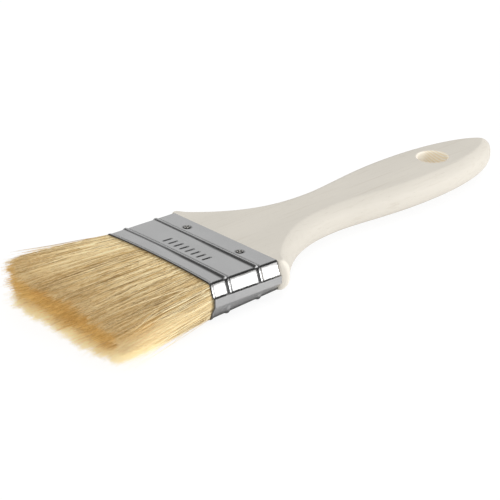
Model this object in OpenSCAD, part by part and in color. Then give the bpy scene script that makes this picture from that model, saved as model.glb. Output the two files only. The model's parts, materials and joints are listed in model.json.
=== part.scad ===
// Flat wooden-handled paint brush, lying flat on one face.
// X runs from the bristle tips to the end of the handle, Y across the width, Z through the thickness.

/* [Ferrule] */
// Width of the metal ferrule, which names the brush size
ferrule_w = 63; // [38:1:76]
// Length of the ferrule along the brush
ferrule_l = 32.3; // [30:0.1:40]
// Thickness of the ferrule at its narrow sides, beside the handle
ferrule_t = 12.2; // [11.8:0.1:12.6]
// How much further each face stands out at the mouth than beside the handle
flare = 1.1; // [0:0.1:1.5]
// How far each face swells at the middle of the mouth
crown = 0.9; // [0:0.1:2]
// Thickness of the tinplate
plate = 0.35; // [0.3:0.05:0.5]
// Height of the two raised beads
bead_h = 0.5; // [0:0.1:0.8]

/* [Handle] */
// Length of the handle outside the ferrule
handle_l = 151; // [135:0.5:170]
// Thickness of the handle board
handle_t = 11.9; // [11.4:0.1:12.4]
// Half width at the narrow neck
neck_w = 12.1; // [10:0.1:14]
// Half width at the widest part of the grip
grip_w = 16.2; // [15:0.1:18]
// Depth of the rounding along the handle's sides
side_round = 4.5; // [2:0.1:6]
// Radius of the hole for hanging the brush
hang_r = 6.3; // [4:0.1:7]

/* [Bristles] */
// Length of the bristles outside the ferrule
bristle_out = 48; // [35:1:60]
// How far the bristles fan out on each side at the tips
fan_out = 5.5; // [0:0.5:8]

/* [Nails] */
// Distance of each nail from the middle of the ferrule
nail_y = 15; // [8:0.5:16]
// Radius of a nail's head
nail_head_r = 1.15; // [1:0.05:1.3]

/* [Inside] */
// Length of the tenon inside the ferrule
tenon_l = 13; // [12:0.5:14]
// Length of the set resin that holds the bristle roots
resin_l = 10; // [8:0.5:10]
// Thickness of the strip that parts the two rows of bristles
strip_t = 3; // [2:0.1:4]

/* [Hidden] */

// Room between parts that touch, how far a union reaches into its neighbour, and how far a cut runs past a face.
fit_gap = 0.04;
weld = 1;
over = 1;
half_w = ferrule_w / 2;
half_t = ferrule_t / 2;

// The ferrule's narrow sides: each half leans in from the middle, then turns a round corner into the face.
side_lean = 18;
corner_r = 1.3;
corner_steps = 6;
face_steps = 12;

// The lapped joint along the near side: the outer sheet stands off it, then bends under.
// Its upper edge and its bend are heights at the mouth and beside the handle.
lap_out = 0.42;
lap_top = [2, 0.7];
lap_bend = [-1.4, -2.4];
lap_end = -4.6;

// Beads and the rolled mouth, as the height and half length of a raised cosine.
bead_x = [8.2, 23];
bead_half = 1.5;
lip_x = 0.6;
lip_half = 1.3;
lip_h = 0.3;
crown_end = 22;
crown_fall = 2;

// Where the sleeve's rings stand: close together at the mouth and over each bead.
mouth_x = [0, 0.3, 0.6, 1.1, 1.9, 4];
bead_steps = [-1, -0.5, 0, 0.5, 1];
bead_gap = bead_x[1] - bead_x[0] - 2 * bead_half;
between_steps = 3;
ferrule_x = concat(mouth_x,
    [for (s = bead_steps) bead_x[0] + s * bead_half],
    [for (i = [1:between_steps - 1]) bead_x[0] + bead_half + bead_gap * i / between_steps],
    [for (s = bead_steps) bead_x[1] + s * bead_half], [ferrule_l]);

// The brush is drawn round the middle of the ferrule's mouth, then set down on its thickest place.
mid_x = (ferrule_l + handle_l - bristle_out) / 2;
rise = max(handle_t / 2, max([for (x = ferrule_x) half_at(x) + crown_at(x) + relief(x)]));

// Nails, as [distance across the width, 0 for the top face or 1 for the under face].
nail_x = ferrule_l - 5.3;
nail_step = 4;
FAR_TOP = [nail_y, 0];
NEAR_TOP = [-nail_y, 0];
FAR_UNDER = [nail_y - nail_step, 1];
NEAR_UNDER = [nail_step - nail_y, 1];
nail_sites = [FAR_TOP, NEAR_TOP, FAR_UNDER, NEAR_UNDER];
nail_r = 0.6;
nail_l = 7;
nail_point = 1.2;
nail_head_t = 0.3;
dimple_r = 1.5;
dimple_d = 0.18;

// Handle outline: the hip beside the ferrule, the shoulder, the neck, the grip and the round end.
hip_l = 4.3;
hip_out = 1.9;
hip_round = 1.8;
neck_x = 52;
grip_x = 97.5;
shoulder_power = 2.5;
grip_ease = 0.8;
tail_power_x = 2.3;
tail_power_y = 1.5;
hip_steps = 6;
shoulder_steps = 10;
grip_steps = 8;
tail_steps = 14;
handle_levels = 6;
edge_power = 2.8;
hang_end = 35.5;
hang_x = handle_l - hang_end;
hang_soften = 0.8;

// Inside the ferrule: the tenon's end, the resin, and the strip that stops short of the mouth.
tenon_x = ferrule_l - tenon_l;
resin_x = tenon_x - resin_l;
resin_steps = 4;
strip_w = ferrule_w - 7;
strip_x = 1;

// The bristle rows: the hollow between them closes at hollow_end, and their tips are cut back a little at the rim.
hollow_end = -9;
pack_tip = 2;
pack_swell = 0.5;
root_steps = 3;
reach_steps = 3;

// A raised cosine of height 1 at the middle and 0 at half on each side.
function bump(x, middle, half) = abs(x - middle) >= half ? 0 : (1 + cos(180 * (x - middle) / half)) / 2;

// How far the sheet metal stands proud of the plain sleeve at distance x from the mouth.
function relief(x) = lip_h * bump(x, lip_x, lip_half)
    + bead_h * (bump(x, bead_x[0], bead_half) + bump(x, bead_x[1], bead_half));

// Half the thickness at the narrow sides, at distance x from the mouth.
function half_at(x) = half_t + flare * (1 - min(max(x, 0), ferrule_l) / ferrule_l);

// Height of the crown at the middle of a face, at distance x from the mouth.
function crown_at(x) = x >= crown_end ? 0 : crown * pow(1 - max(x, 0) / crown_end, crown_fall);

// Y of the leaning side at height z, for an outline of this half width.
function lean_y(wide, z) = abs(z) * tan(side_lean) - wide;

// Upper outline from the -Y side to the +Y side: a leaning side, a round corner, a crowned face, and back.
// The corner keeps its distance from a plain sleeve of half thickness plain.
function upper(wide, high, plain, swell, low) =
    let (r = corner_r + high - plain)
    let (turn_y = lean_y(wide, high - r + r * sin(side_lean)) + r * cos(side_lean))
    let (corner = [for (i = [0:corner_steps])
        let (a = side_lean + (90 - side_lean) * i / corner_steps)
        [turn_y - r * cos(a), high - r + r * sin(a)]])
    let (side = concat([[lean_y(wide, low), low]], corner))
    let (face = [for (i = [1:face_steps - 1])
        let (y = turn_y * (1 - 2 * i / face_steps))
        [y, high + swell * (1 - pow(y / turn_y, 2))]])
    concat(side, face, [for (i = [len(side) - 1:-1:0]) [-side[i][0], side[i][1]]]);

// Whole sleeve outline at distance x from the mouth, moved inwards by inset.
function sleeve(x, inset, proud) =
    let (half = upper(half_w - inset + proud, half_at(x) - inset + proud, half_at(x), crown_at(x), 0))
    concat(half, [for (i = [len(half) - 2:-1:1]) [half[i][0], -half[i][1]]]);

// Stands an outline in Y and Z upright at distance x.
function stand(x, outline) = [for (p = outline) [x, p[0], p[1]]];

// Faces that join neighbouring rings of count points each, the first of them starting at point from.
function skin(rings, count, from) = [for (r = [0:rings - 2], i = [0:count - 1])
    let (a = from + r * count, j = (i + 1) % count)
    [a + i, a + j, a + count + j, a + count + i]];
function turned(faces) = [for (f = faces) [for (i = [len(f) - 1:-1:0]) f[i]]];

// Flat end of a ring whose points mirror each other across X, as strips from one side to the other.
function strips(count, from) = [for (i = [0:ceil(count / 2) - 2])
    let (a = count - 1 - i, b = count - 2 - i)
    b > i + 1 ? [from + i, from + i + 1, from + b, from + a] : [from + i, from + i + 1, from + a]];

// A solid through rings of equal point count, with a flat face at each end.
module loft(rings) {
    count = len(rings[0]);
    last = (len(rings) - 1) * count;
    polyhedron(points = [for (r = rings) each r], convexity = 6,
        faces = concat(skin(len(rings), count, 0), turned(strips(count, 0)), strips(count, last)));
}

// A sleeve between matching outer and inner rings.
module shell(outer, inner) {
    count = len(outer[0]);
    half = len(outer) * count;
    last = half - count;
    polyhedron(points = concat([for (r = outer) each r], [for (r = inner) each r]), convexity = 6, faces = concat(
        skin(len(outer), count, 0),
        turned(skin(len(inner), count, half)),
        [for (i = [0:count - 1]) let (j = (i + 1) % count) [j, i, half + i, half + j]],
        [for (i = [0:count - 1]) let (j = (i + 1) % count)
            [last + i, last + j, half + last + j, half + last + i]]));
}

module placed() translate([-mid_x, 0, rise]) children();

// Puts a nail's parts at the floor of its dimple, pointing out of the face.
module at_nail(site) mirror([0, 0, site[1]]) translate([nail_x, site[0], half_at(nail_x) - dimple_d]) children();

// The outer sheet of the lapped joint, from just above the middle of the near side to its lower corner.
function lap_outline(end) = [
    [lean_y(half_w, lap_end) - plate / 2, lap_end], [-half_w - lap_out, lap_bend[end]],
    [-half_w - lap_out, lap_top[end]], [lean_y(half_w, lap_top[end]) + plate / 2, lap_top[end]],
    [lean_y(half_w, 0) + plate / 2, 0], [lean_y(half_w, lap_end) + plate / 2, lap_end]];
module lap_joint() loft([stand(0, lap_outline(0)), stand(ferrule_l, lap_outline(1))]);

// The ferrule: sheet metal with two beads, a rolled mouth and a dimple round each nail.
module ferrule() color("silver") placed() difference() {
    union() {
        shell([for (x = ferrule_x) stand(x, sleeve(x, 0, relief(x)))],
            [for (x = ferrule_x) stand(x, sleeve(x, plate, relief(x)))]);
        lap_joint();
    }
    for (site = nail_sites) at_nail(site) {
        translate([0, 0, -2 * plate]) cylinder(h = 3 * plate, r = nail_r + fit_gap, $fn = 24);
        cylinder(h = plate, r = dimple_r, $fn = 32);
    }
}

// Half width of the handle's outline at distance u from the ferrule.
function shoulder_at(u) = neck_w + (half_w - neck_w) * pow(1 - (u - hip_l) / (neck_x - hip_l), shoulder_power);
function half_width(u) =
    u < hip_l ? half_w + hip_out * sin(180 * u / hip_l) :
    u < neck_x ? shoulder_at(u) :
    (grip_w + neck_w) / 2 - (grip_w - neck_w) / 2 * cos(180 * pow((u - neck_x) / (grip_x - neck_x), grip_ease));

// Outline points as [u, half width, direction of the rounding], from the ferrule to the grip.
side_stations = concat(
    [for (i = [0:hip_steps - 1]) hip_l * i / hip_steps],
    [for (i = [0:shoulder_steps - 1]) hip_l + (neck_x - hip_l) * pow(i / shoulder_steps, 1.4)],
    [for (i = [0:grip_steps - 1]) neck_x + (grip_x - neck_x) * i / grip_steps]);

// How deep the sides are rounded at distance u: slight beside the ferrule, full along the grip.
function round_at(u) = u < hip_l ? hip_round + (side_round - hip_round) * (1 - cos(180 * u / hip_l)) / 2 : side_round;

// The outline of the handle at one level, set in from the full outline by part of the rounding.
// Its round end is a superellipse, drawn smaller at each level.
function handle_loop(part) =
    let (side = [for (u = side_stations) [u, half_width(u) - part * round_at(u)]])
    let (long = handle_l - grip_x - part * side_round, wide = grip_w - part * side_round)
    let (tail = [for (i = [0:tail_steps])
        let (a = 90 * i / tail_steps)
        [grip_x + long * pow(sin(a), 2 / tail_power_x), wide * pow(max(cos(a), 0), 2 / tail_power_y)]])
    let (half = concat(side, tail))
    concat(half, [for (i = [len(half) - 2:-1:0]) [half[i][0], -half[i][1]]]);

module handle_body() {
    levels = [for (k = [-handle_levels:handle_levels]) sin(90 * k / handle_levels)];
    rings = [for (s = levels)
        [for (p = handle_loop(pow(abs(s), edge_power))) [ferrule_l + p[0], p[1], s * handle_t / 2]]];
    loft(rings);
}

module handle() {
    hang = [ferrule_l + hang_x, 0, 0];
    color("wheat") placed() difference() {
        union() {
            handle_body();
            translate([ferrule_l - tenon_l, 0, 0]) rotate([90, 0, 90])
                linear_extrude(tenon_l + weld) polygon(sleeve(ferrule_l, plate + fit_gap, 0));
        }
        translate(hang) cylinder(h = 2 * handle_t, r = hang_r, center = true, $fn = 64);
        for (face = [0, 1]) mirror([0, 0, face]) translate(hang + [0, 0, handle_t / 2 - hang_soften])
            cylinder(h = 2 * hang_soften, r1 = hang_r, r2 = hang_r + 2 * hang_soften, $fn = 64);
        for (site = nail_sites) at_nail(site) translate([0, 0, -nail_l - fit_gap])
            cylinder(h = nail_l + over, r = nail_r + fit_gap, $fn = 24);
    }
}

// A pin with a flat head, driven through the sheet metal into the tenon.
module nail(site) color("dimgray") placed() at_nail(site) {
    cylinder(h = nail_head_t, r = nail_head_r, $fn = 32);
    translate([0, 0, nail_point - nail_l]) cylinder(h = nail_l - nail_point, r = nail_r, $fn = 24);
    translate([0, 0, -nail_l]) cylinder(h = nail_point, r1 = nail_r / 4, r2 = nail_r, $fn = 24);
}

// The resin that sets round the bristle roots, poured against the end of the tenon.
module resin_setting() {
    stations = [for (i = [0:resin_steps]) resin_x + (resin_l - fit_gap) * i / resin_steps];
    color("goldenrod") placed() difference() {
        loft([for (x = stations) stand(x, sleeve(x, plate + fit_gap, 0))]);
        translate([tenon_x, 0, 0]) cube([4 * resin_l, strip_w + 2 * fit_gap, strip_t + 2 * fit_gap], center = true);
    }
}

// The wooden strip between the two rows of bristles, which leaves a hollow for paint in front of it.
module filler_strip() color("burlywood") placed() translate([strip_x, -strip_w / 2, -strip_t / 2])
    cube([tenon_x - fit_gap - strip_x, strip_w, strip_t]);

// One row of bristles, as a plain solid: set in the ferrule, spread at the tips.
function low_at(x) = x >= strip_x ? strip_t / 2 + fit_gap
    : fit_gap + strip_t / 2 * max(0, (x - hollow_end) / (strip_x - hollow_end));
function spread(x) = max(0, -x / bristle_out);
function pack_ring(x, trim) = stand(x, upper(
    half_w - plate - fit_gap + fan_out * spread(x) - trim,
    half_at(x) - plate - fit_gap + pack_swell * spread(x) - trim,
    half_at(x), crown_at(x), low_at(x)));

module bristle_pack() {
    rim_x = pack_tip - bristle_out;
    root_x = resin_x - fit_gap;
    reach = [for (i = [0:reach_steps]) rim_x + (hollow_end - rim_x) * i / reach_steps];
    roots = [for (i = [0:root_steps]) strip_x + (root_x - strip_x) * i / root_steps];
    loft(concat([pack_ring(-bristle_out, pack_tip)], [for (x = concat(reach, [0], roots)) pack_ring(x, 0)]));
}
module bristles_top() color("khaki") placed() bristle_pack();
module bristles_under() color("khaki") placed() mirror([0, 0, 1]) bristle_pack();

handle();
ferrule();
nail(FAR_TOP);  // nail_top_far
nail(NEAR_TOP);  // nail_top_near
nail(FAR_UNDER);  // nail_under_far
nail(NEAR_UNDER);  // nail_under_near
resin_setting();
filler_strip();
bristles_top();
bristles_under();
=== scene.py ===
import json
import math

import bmesh
import bpy
import numpy as np
from mathutils import Matrix, Vector


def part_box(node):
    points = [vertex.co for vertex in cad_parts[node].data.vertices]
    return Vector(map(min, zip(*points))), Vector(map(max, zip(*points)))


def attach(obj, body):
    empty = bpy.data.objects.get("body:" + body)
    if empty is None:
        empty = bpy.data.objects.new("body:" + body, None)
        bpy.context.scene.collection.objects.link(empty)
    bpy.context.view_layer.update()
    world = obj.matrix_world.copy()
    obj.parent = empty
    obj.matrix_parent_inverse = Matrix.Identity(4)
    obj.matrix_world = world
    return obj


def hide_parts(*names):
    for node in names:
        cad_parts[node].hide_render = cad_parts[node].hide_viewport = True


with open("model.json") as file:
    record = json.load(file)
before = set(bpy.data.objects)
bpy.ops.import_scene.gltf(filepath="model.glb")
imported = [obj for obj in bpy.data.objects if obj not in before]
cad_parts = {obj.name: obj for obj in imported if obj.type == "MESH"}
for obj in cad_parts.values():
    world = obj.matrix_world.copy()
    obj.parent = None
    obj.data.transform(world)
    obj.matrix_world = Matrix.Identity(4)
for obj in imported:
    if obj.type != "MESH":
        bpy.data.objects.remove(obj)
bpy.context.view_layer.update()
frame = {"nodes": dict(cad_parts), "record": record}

bl_info = {
    "name": "Flat paint brush",
    "version": (1, 0, 0),
    "blender": (4, 5, 0),
    "location": "View3D > Sidebar > Paint brush",
    "description": "Builds a wooden-handled flat paint brush round its packed model",
    "category": "Object",
}

# Shapes are worked out in millimetres from the middle of the mouth: X to the handle, Y across, Z up.
MM = 0.001
MOUTH_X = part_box("ferrule")[0].x
MID_Z = (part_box("handle")[0].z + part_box("handle")[1].z) / 2
FERRULE_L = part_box("ferrule")[1].x - MOUTH_X
HANDLE_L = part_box("handle")[1].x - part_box("ferrule")[1].x
HANDLE_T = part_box("handle")[1].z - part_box("handle")[0].z
HANG = frame["record"]["mounts"][0]


# ---- sizes and colours

def length(name, description, default):
    """A size in metres that the sidebar shows as a distance."""
    return bpy.props.FloatProperty(
        name=name, description=description, default=default, min=0.0, precision=5, unit="LENGTH",
        subtype="DISTANCE")


def angle(name, description, degrees):
    """An angle that the sidebar shows in degrees."""
    return bpy.props.FloatProperty(
        name=name, description=description, default=math.radians(degrees), subtype="ANGLE")


def count(name, description, default):
    """A whole number of one or more."""
    return bpy.props.IntProperty(name=name, description=description, default=default, min=1)


def tint(name, description, default):
    """A colour that the sidebar shows as a swatch."""
    return bpy.props.FloatVectorProperty(
        name=name, description=description, default=default, size=3, min=0.0, max=1.0, subtype="COLOR")


class FerruleSizes(bpy.types.PropertyGroup):
    length: length("Length", "Length of the ferrule along the brush", FERRULE_L)
    half_width: length("Half width", "Half the width of the plain sleeve", 0.0315)
    half_thickness: length("Half thickness", "Half the thickness of the sides beside the handle", 0.0061)
    flare: length("Flare", "How much further each face stands out at the mouth", 0.0011)
    crown: length("Crown", "How far each face swells at the middle of the mouth", 0.0009)
    plate: length("Plate", "Thickness of the tinplate", 0.00035)
    bead_height: length("Bead height", "How far the two pressed beads stand up", 0.0005)
    bead_first: length("First bead", "Distance of the first bead from the mouth", 0.0082)
    bead_second: length("Second bead", "Distance of the second bead from the mouth", 0.0230)
    lip_height: length("Lip height", "How far the rolled mouth stands up", 0.0003)
    lap_step: length("Lap step", "How far the lapped joint stands off the near narrow side", 0.00042)
    dimple_depth: length("Dimple depth", "Depth of the dimple round each nail", 0.00018)
    tick_depth: length("Tick depth", "Depth of the stamped row of marks", 0.00035)
    tin: tint("Tin", "Colour of the bright tinplate", (0.715, 0.715, 0.715))
    # Near-black colour of the painted shade and painted dark reflections on the ferrule, and of the painted
    # shade on the nail heads.
    grime: tint("Painted_shade", "Colour of the grime in the creases", (0.05, 0.048, 0.045))
    nail: tint("Nail steel", "Colour of the nail heads", (0.62, 0.60, 0.57))


class HandleSizes(bpy.types.PropertyGroup):
    length: length("Length", "Length of the handle outside the ferrule", HANDLE_L)
    thickness: length("Thickness", "Thickness of the board", HANDLE_T)
    neck: length("Neck", "Half width at the narrow neck", 0.0121)
    grip: length("Grip", "Half width at the widest part of the grip", 0.0162)
    side_round: length("Side rounding", "Depth of the rounding along the sides", 0.0045)
    hole_radius: length("Hole radius", "Radius of the hanging hole", HANG["dims"]["r_mm"] * MM)
    hole_soften: length("Hole edge", "Radius of the softened edge of the hole", 0.0009)
    tenon: length("Tenon", "Length of the tenon inside the ferrule", 0.013)
    wood: tint("Wood", "Colour of the pale bare wood", (0.660, 0.622, 0.552))
    grain: tint("Grain", "Colour of the darker grain", (0.560, 0.505, 0.425))
    bore: tint("Bored wood", "Colour of the fresh wood inside the hole", (0.88, 0.74, 0.50))


class BristleSizes(bpy.types.PropertyGroup):
    length: length("Length", "Length of the bristles outside the ferrule", 0.0450)
    girth: length("Girth", "Radius of a bristle at its root", 0.00011)
    fan_far: angle("Far fan", "How far the far edge fans out", 10.5)
    fan_near: angle("Near fan", "How far the near edge fans out", 6.5)
    inner_count: count("Inner bristles", "Bristles in each of the four inner bundles", 4200)
    outer_count: count("Outer bristles", "Finer bristles over each face", 3450)
    glow: bpy.props.FloatProperty(
        name="Glow", description="Light that the thin hairs pass on to each other", default=0.22, min=0.0)
    seed: count("Seed", "Seed for the lie of the bristles", 63)
    dark: tint("Dark hair", "Colour of the few dark bristles", (0.20, 0.10, 0.03))
    tan: tint("Tan hair", "Colour of the ordinary bristles", (0.76, 0.555, 0.26))
    cream: tint("Cream hair", "Colour of the palest bristles", (1.0, 0.88, 0.58))
    # The golden and brown tips are partly the hair's own colour, partly painted shade of the tuft's depth.
    gold: tint("Golden tips", "Colour of the inner bristles at their tips", (1.0, 0.68, 0.23))
    brown: tint("Brown tips", "Colour of the darker inner bristles at their tips", (0.57, 0.31, 0.065))


class StageSizes(bpy.types.PropertyGroup):
    azimuth: angle("Azimuth", "Direction of the camera round the brush", -41.685)
    elevation: angle("Elevation", "Height of the camera above the horizon", 25.076)
    roll: angle("Roll", "Tilt of the camera about its own axis", -0.757)
    distance: length("Distance", "Distance from the camera to its target", 0.64928)
    target: bpy.props.FloatVectorProperty(
        name="Target", description="The point that the camera looks at", default=(-0.01799, 0.00479, 0.00123),
        size=3, subtype="XYZ")
    lens: bpy.props.FloatProperty(
        name="Lens", description="Focal length in millimetres", default=120.94, min=1.0, unit="CAMERA")
    floor: tint("Floor", "Colour of the plain floor", (0.93, 0.93, 0.93))


# ---- node helpers

class Value:
    """A node's socket. Arithmetic on it adds Math nodes."""

    def __init__(self, nodes, socket):
        self.nodes = nodes
        self.socket = socket

    def maths(self, operation, *values, clamp=False):
        settings = {"operation": operation, "use_clamp": clamp}
        return self.nodes.add("ShaderNodeMath", settings, dict(enumerate(values)))

    def __add__(self, other):
        return self.maths("ADD", self, other)

    def __radd__(self, other):
        return self.maths("ADD", other, self)

    def __sub__(self, other):
        return self.maths("SUBTRACT", self, other)

    def __rsub__(self, other):
        return self.maths("SUBTRACT", other, self)

    def __mul__(self, other):
        return self.maths("MULTIPLY", self, other)

    def __rmul__(self, other):
        return self.maths("MULTIPLY", other, self)

    def __pow__(self, other):
        return self.maths("POWER", self, other)

    def clamped(self):
        return self.maths("ADD", self, 0.0, clamp=True)

    def sine(self):
        return self.maths("SINE", self)

    def step(self, low, high):
        """0 at low, 1 at high, and a soft step between them."""
        return self.nodes.add("ShaderNodeMapRange", {"interpolation_type": "SMOOTHSTEP"},
                              {"Value": self, "From Min": low, "From Max": high})


class Nodes:
    """A node tree that is built up node by node."""

    def __init__(self, tree):
        self.tree = tree
        self.tree.nodes.clear()

    def feed(self, socket, value):
        if isinstance(value, Value):
            self.tree.links.new(value.socket, socket)
        elif socket.type == "RGBA":
            socket.default_value = (*value, 1.0)
        else:
            socket.default_value = value

    def add(self, kind, settings=None, sockets=None, output=0):
        """Adds a node: its settings first, then its sockets' values or links. Gives one of its outputs."""
        node = self.tree.nodes.new(kind)
        for name, value in (settings or {}).items():
            if name == "stops":
                ramp = node.color_ramp
                while len(ramp.elements) < len(value):
                    ramp.elements.new(0.5)
                for element, (at, colour) in zip(ramp.elements, value):
                    element.position = at
                    element.color = (*colour, 1.0)
            else:
                setattr(node, name, value)
        for name, value in (sockets or {}).items():
            self.feed(node.inputs[name], value)
        return Value(self, node.outputs[output])

    def axes(self, vector):
        """The X, Y and Z of a vector."""
        first = self.add("ShaderNodeSeparateXYZ", None, {0: vector})
        return [Value(self, part) for part in first.socket.node.outputs]


class Finish(Nodes):
    """A procedural material with one Principled shader."""

    def __init__(self, name):
        self.material = bpy.data.materials.new(name)
        self.material.use_nodes = True
        super().__init__(self.material.node_tree)
        self.shader = self.tree.nodes.new("ShaderNodeBsdfPrincipled")
        self.out = self.tree.nodes.new("ShaderNodeOutputMaterial")
        self.tree.links.new(self.shader.outputs[0], self.out.inputs["Surface"])

    def shade(self, **sockets):
        """Sets or links the shader's own sockets."""
        for name, value in sockets.items():
            self.feed(self.shader.inputs[name.replace("_", " ")], value)

    def mix(self, factor, first, second):
        return self.add("ShaderNodeMix", {"data_type": "RGBA"}, {"Factor": factor, 6: first, 7: second}, 2)

    def place(self, scale=(1, 1, 1), offset=(0, 0, 0)):
        """Object coordinates, moved and scaled."""
        here = self.add("ShaderNodeTexCoord", None, None, "Object")
        return self.add("ShaderNodeMapping", None, {"Vector": here, "Scale": scale, "Location": offset})

    def marked(self, name):
        """A value that the mesh holds for each point."""
        return self.add("ShaderNodeAttribute", {"attribute_name": name}, None, "Fac")

    def noise(self, vector, detail=2.0, rough=0.5, distortion=0.0):
        return self.add("ShaderNodeTexNoise", None, {
            "Vector": vector, "Scale": 1.0, "Detail": detail, "Roughness": rough, "Distortion": distortion})

    def bump(self, height, distance, strength=0.5):
        return self.add("ShaderNodeBump", None, {
            "Height": height, "Distance": distance, "Strength": strength})


class Growth(Nodes):
    """A geometry node tree with named inputs, built from the first node to the last."""

    def __init__(self, name):
        super().__init__(bpy.data.node_groups.new(name, "GeometryNodeTree"))
        self.start = self.tree.nodes.new("NodeGroupInput")
        self.end = self.tree.nodes.new("NodeGroupOutput")
        for way in ("INPUT", "OUTPUT"):
            self.tree.interface.new_socket("Geometry", in_out=way, socket_type="NodeSocketGeometry")

    def socket(self, name, kind, default=None):
        """Makes a named input of the tree."""
        made = self.tree.interface.new_socket(name, in_out="INPUT", socket_type=kind)
        if default is not None:
            made.default_value = default

    def get(self, name):
        return Value(self, self.start.outputs[name])

    def named(self, name, kind="FLOAT"):
        """A named attribute of the geometry."""
        return self.add("GeometryNodeInputNamedAttribute", {"data_type": kind}, {"Name": name})

    def store(self, geometry, name, value, kind="FLOAT"):
        """Keeps a value on the points under a name."""
        return self.add("GeometryNodeStoreNamedAttribute", {"data_type": kind, "domain": "POINT"},
                        {"Geometry": geometry, "Name": name, "Value": value})

    def scaled(self, vector, by):
        return self.add("ShaderNodeVectorMath", {"operation": "SCALE"}, {0: vector, "Scale": by})

    def total(self, first, *others):
        for other in others:
            first = self.add("ShaderNodeVectorMath", {"operation": "ADD"}, {0: first, 1: other})
        return first

    def finish(self, geometry, material):
        """Makes the copies real and gives them their material."""
        real = self.add("GeometryNodeRealizeInstances", None, {"Geometry": geometry})
        painted = self.add("GeometryNodeSetMaterial", None, {"Geometry": real, "Material": material})
        self.tree.links.new(painted.socket, self.end.inputs["Geometry"])
        return self


def grown(obj, growth, inputs):
    """Runs a tree on an object and gives back a plain mesh object in its place."""
    modifier = obj.modifiers.new("Growth", "NODES")
    modifier.node_group = growth.tree
    for item in growth.tree.interface.items_tree:
        if item.item_type == "SOCKET" and item.in_out == "INPUT" and item.name in inputs:
            modifier[item.identifier] = inputs[item.name]
    graph = bpy.context.evaluated_depsgraph_get()
    mesh = bpy.data.meshes.new_from_object(
        obj.evaluated_get(graph), preserve_all_data_layers=True, depsgraph=graph)
    obj.modifiers.clear()
    name = obj.name
    bpy.data.objects.remove(obj)
    mesh.name = name
    if not len(mesh.polygons):
        raise RuntimeError(f"{name} has no faces")
    return put(name, mesh)


def put(name, data):
    """Adds an object to the scene."""
    obj = bpy.data.objects.new(name, data)
    bpy.context.scene.collection.objects.link(obj)
    return obj


def assign(obj, finish):
    obj.data.materials.clear()
    obj.data.materials.append(finish.material)


# ---- mesh helpers

def in_frame(points):
    """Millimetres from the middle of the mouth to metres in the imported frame."""
    points = np.asarray(points, float) * MM
    return points + np.array([MOUTH_X, 0.0, MID_Z])


def raw_object(name, points, faces, smooth=True):
    """A mesh object from points in metres."""
    mesh = bpy.data.meshes.new(name)
    mesh.from_pydata([tuple(p) for p in points], [], [tuple(int(i) for i in f) for f in faces])
    mesh.update()
    if smooth:
        mesh.shade_smooth()
    return put(name, mesh)


def new_object(name, points, faces, smooth=True):
    """A mesh object from points in millimetres from the middle of the mouth."""
    return raw_object(name, in_frame(points), faces, smooth)


def mark(obj, name, values, kind="FLOAT"):
    """Stores a number or a vector for each point of a mesh under a name."""
    layer = obj.data.attributes.new(name, kind, "POINT")
    layer.data.foreach_set("value" if kind == "FLOAT" else "vector", np.asarray(values, np.float32).ravel())


def bridge(count, first, second):
    """Quads between two closed rings of count points that start at these indices."""
    i = np.arange(count)
    j = (i + 1) % count
    return np.stack([first + i, first + j, second + j, second + i], 1)


def bump_at(x, middle, half):
    """A raised cosine of height 1 at middle, and 0 beyond half on each side."""
    return np.where(np.abs(x - middle) >= half, 0.0, (1 + np.cos(np.pi * (x - middle) / half)) / 2)


def check_outward(obj):
    """Stops the script if a closed mesh is inside out."""
    bm = bmesh.new()
    bm.from_mesh(obj.data)
    volume = bm.calc_volume(signed=True)
    open_edges = sum(1 for e in bm.edges if len(e.link_faces) != 2)
    bm.free()
    if volume <= 0 or open_edges:
        raise RuntimeError(f"{obj.name}: volume {volume:.3g}, {open_edges} open edges")


# ---- the ferrule

SIDE_LEAN = math.radians(18)
CORNER_R = 1.3
LEAN_STEPS = np.append(np.arange(0.0, 4.5, 0.15), 4.6)
LAP_TOP = (2.0, 0.7)
LAP_BEND = (-1.4, -2.4)
LAP_END = -4.6
CROWN_END = 22.0
BEAD_HALF = 1.5
LIP_X = 0.6
LIP_HALF = 1.3
FACE_Y = 29.0
CORNER_Y = 28.4
SIDE_Y = 29.5
DIMPLE_R = 2.3
TICKS_Y = np.arange(-12.0, 13.1, 3.2)
TICK_X = 13.6
TICK_HALF = 0.5
TICK_LONG = 2.2
TICK_ROOM = 5.5


def crown_at(x, crown):
    """Height of the crown at the middle of a face, at distance x from the mouth."""
    return 0.0 if x >= CROWN_END else crown * (1 - max(x, 0.0) / CROWN_END) ** 2


def half_at(x):
    """Half the ferrule's thickness at its narrow sides, at distance x from the mouth."""
    s = bpy.context.scene.brush_ferrule
    return s.half_thickness / MM + s.flare / MM * (1 - min(max(x / (s.length / MM), 0.0), 1.0))


def sleeve_ring(wide, high, plain, swell, face_steps=200):
    """Closed outline in Y and Z from the -Y side over the top: leaning sides, corners and faces."""
    r = CORNER_R + high - plain
    a = np.linspace(SIDE_LEAN, np.pi / 2, 12)
    turn_z = high - r + r * math.sin(SIDE_LEAN)
    turn_y = turn_z * math.tan(SIDE_LEAN) - wide + r * math.cos(SIDE_LEAN)
    lean = LEAN_STEPS * min(1.0, (turn_z - 0.05) / LEAN_STEPS[-1])
    y = np.concatenate([lean * math.tan(SIDE_LEAN) - wide, turn_y - r * np.cos(a)])
    z = np.concatenate([lean, high - r + r * np.sin(a)])
    face_y = -turn_y * np.linspace(-1, 1, face_steps + 1)[1:-1]
    face_z = high + swell * (1 - (face_y / turn_y) ** 2)
    top_y = np.concatenate([y, face_y, -y[::-1]])
    top_z = np.concatenate([z, face_z, z[::-1]])
    return np.concatenate([top_y, top_y[-2:0:-1]]), np.concatenate([top_z, -top_z[-2:0:-1]])


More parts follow.
